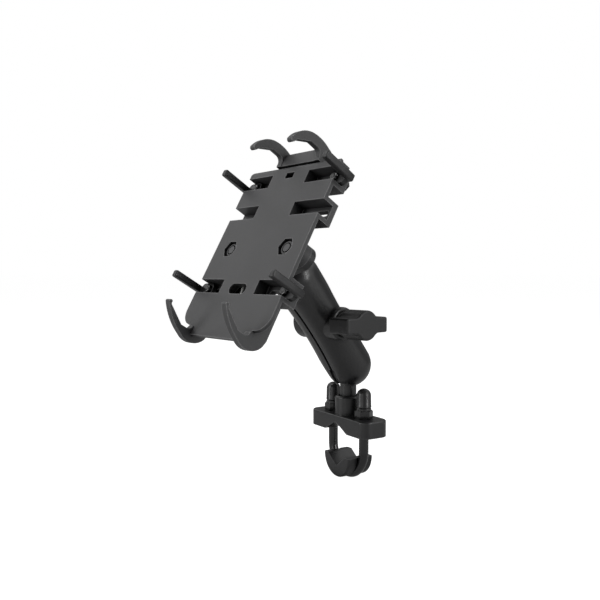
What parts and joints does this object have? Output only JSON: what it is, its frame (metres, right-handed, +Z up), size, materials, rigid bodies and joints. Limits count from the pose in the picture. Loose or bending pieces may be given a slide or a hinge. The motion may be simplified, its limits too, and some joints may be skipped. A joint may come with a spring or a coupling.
{
  "type": "phone handlebar mount",
  "caption": "Black phone holder with sprung top hooks and side fingers, on a ball-and-socket arm over a U-bolt bar clamp.",
  "frame": {"origin": "middle of the bar groove, on the underside of the clamp base, on the axis of the lower ball's post", "axes": "+Z up the lower ball's post, -Y towards the rider and the phone's screen, X across the phone; the bar runs 9 degrees off Y"},
  "size_m": [0.0908, 0.1241, 0.2021],
  "materials": {
    "composite": "matte moulded composite",
    "powder_coat": "satin black powder coat",
    "black_steel": "gloss black coating",
    "steel": "plain stainless steel",
    "brass": "machined",
    "rubber": "matte black rubber"
  },
  "bodies": {
    "base": {"clamp_base": "powder_coat"},
    "lower_ball": {"lower_ball_stud": "steel", "lower_ball_cover": "rubber"},
    "ubolt": {"u_bolt": "black_steel", "clamp_saddle": "composite"},
    "left_nut": {"left_lock_nut": "steel", "left_thread_cap": "rubber"},
    "right_nut": {"right_lock_nut": "steel", "right_thread_cap": "rubber"},
    "arm": {"arm_half_bolt_side": "powder_coat", "clamp_bolt": "steel", "clamp_spring": "steel"},
    "knob_half": {"arm_half_knob_side": "powder_coat", "knob_washer": "steel"},
    "knob": {"wing_knob": "composite", "knob_insert": "brass"},
    "upper_ball": {"upper_ball_stud": "steel", "upper_ball_cover": "rubber"},
    "holder": {"cradle_tray": "composite", "cradle_back_cover": "composite", "cover_screws": "steel", "ball_adapter": "powder_coat", "adapter_screws": "steel", "adapter_lock_nuts": "steel", "carriage_springs": "steel"},
    "carriage": {"top_carriage": "composite"},
    "arm_upper_left": {"side_arm_upper_left": "composite", "finger_sleeve_upper_left": "rubber", "arm_screw_upper_left": "steel", "arm_nut_upper_left": "steel"},
    "arm_upper_right": {"side_arm_upper_right": "composite", "finger_sleeve_upper_right": "rubber", "arm_screw_upper_right": "steel", "arm_nut_upper_right": "steel"},
    "arm_lower_left": {"side_arm_lower_left": "composite", "finger_sleeve_lower_left": "rubber", "arm_screw_lower_left": "steel", "arm_nut_lower_left": "steel"},
    "arm_lower_right": {"side_arm_lower_right": "composite", "finger_sleeve_lower_right": "rubber", "arm_screw_lower_right": "steel", "arm_nut_lower_right": "steel"}
  },
  "joints": [
    {"name": "ball_swivel", "type": "hinge", "parent": "base", "child": "lower_ball", "pos_m": [0, 0, 0.0407], "axis": [0, 0, 1], "continuous": true},
    {"name": "arm_pitch", "type": "hinge", "parent": "lower_ball", "child": "arm", "pos_m": [0, 0, 0.0407], "axis": [1, 0, 0], "range_deg": [-88.8, 11.2]},
    {"name": "holder_pitch", "type": "hinge", "parent": "arm", "child": "upper_ball", "pos_m": [0, -0.04242, 0.09346], "axis": [1, 0, 0], "range_deg": [-71.2, 28.8]},
    {"name": "holder_swivel", "type": "hinge", "parent": "upper_ball", "child": "holder", "pos_m": [0, -0.04242, 0.09346], "axis": [0, -0.866, 0.5], "continuous": true},
    {"name": "knob_turn", "type": "hinge", "parent": "knob_half", "child": "knob", "pos_m": [0, -0.02121, 0.06708], "axis": [1, 0, 0], "range_deg": [0, 540]},
    {"name": "half_slide", "type": "slide", "parent": "arm", "child": "knob_half", "axis": [1, 0, 0], "range_m": [0, 0.0019]},
    {"name": "carriage_slide", "type": "slide", "parent": "holder", "child": "carriage", "axis": [0, 0.5, 0.866], "range_m": [0, 0.019], "stiffness_N_per_m": 400, "springref_m": -0.015, "deforming": ["carriage_springs"]},
    {"name": "side_arm_upper_left_slide", "type": "slide", "parent": "holder", "child": "arm_upper_left", "axis": [1, 0, 0], "range_m": [-0.0015, 0.014]},
    {"name": "side_arm_upper_right_slide", "type": "slide", "parent": "holder", "child": "arm_upper_right", "axis": [1, 0, 0], "range_m": [-0.014, 0.0015]},
    {"name": "side_arm_lower_left_slide", "type": "slide", "parent": "holder", "child": "arm_lower_left", "axis": [1, 0, 0], "range_m": [-0.0015, 0.014]},
    {"name": "side_arm_lower_right_slide", "type": "slide", "parent": "holder", "child": "arm_lower_right", "axis": [1, 0, 0], "range_m": [-0.014, 0.0015]},
    {"name": "ubolt_slide", "type": "slide", "parent": "base", "child": "ubolt", "axis": [0, 0, 1], "range_m": [-0.0057, 0.0092]},
    {"name": "left_nut_turn", "type": "hinge", "parent": "base", "child": "left_nut", "pos_m": [-0.01556, 0.00246, 0.0099], "axis": [0, 0, 1], "range_deg": [-4200, 2600]},
    {"name": "right_nut_turn", "type": "hinge", "parent": "base", "child": "right_nut", "pos_m": [0.01556, -0.00246, 0.0099], "axis": [0, 0, 1], "range_deg": [-4200, 2600]}
  ],
  "couplings": [
    {"joint": "knob_turn", "follows": "half_slide", "rad_per_m": 4947.4},
    {"joint": "left_nut_turn", "follows": "ubolt_slide", "rad_per_m": -7915.8},
    {"joint": "right_nut_turn", "follows": "ubolt_slide", "rad_per_m": -7915.8}
  ]
}
